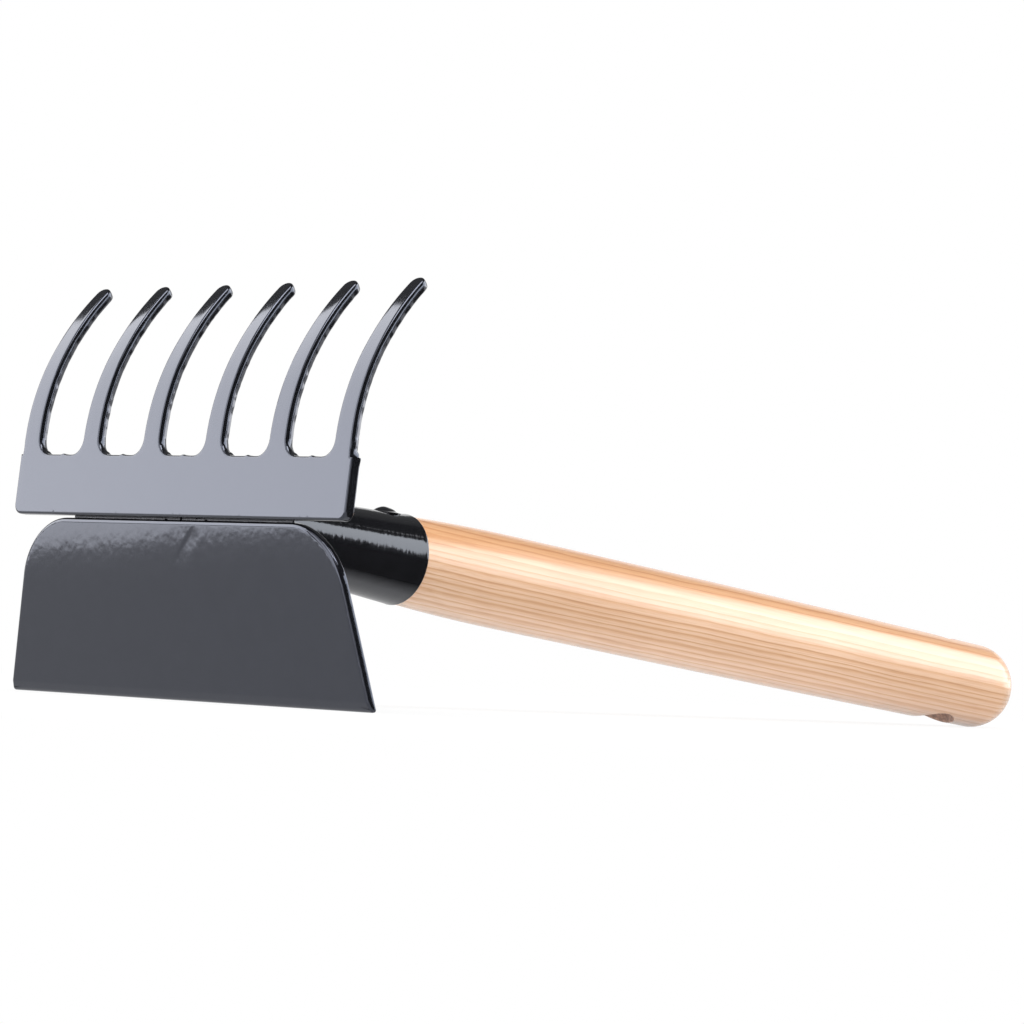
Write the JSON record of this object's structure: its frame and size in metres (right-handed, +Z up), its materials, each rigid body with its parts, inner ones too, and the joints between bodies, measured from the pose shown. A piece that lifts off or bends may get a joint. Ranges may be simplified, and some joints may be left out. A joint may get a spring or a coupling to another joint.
{
  "type": "hand rake",
  "caption": "Short-handled hand rake with a hoe blade below: curved tines and a slanted trapezoid blade in black enamelled steel, welded to a tapered socket on a varnished ash grip.",
  "frame": {"origin": "on the floor, at the middle of the box that the tool fills as it rests on the hoe's edge and on the butt of the handle", "axes": "+X from the blades towards the butt of the handle, +Z up, with the rake's tines on top; the tool is mirror-symmetric about Y = 0"},
  "size_m": [0.3262, 0.1486, 0.1111],
  "materials": {
    "wood": "varnished pale ash, straight fine grain",
    "enamel": "black gloss enamel over welded steel",
    "nail": "black gloss enamel over a domed nail head"
  },
  "bodies": {
    "root": {"handle": "wood", "socket": "enamel", "socket_nail": "nail", "rake_blade": "enamel", "hoe_blade": "enamel", "rake_weld": "enamel", "hoe_weld": "enamel", "blade_weld": "enamel"}
  },
  "joints": []
}
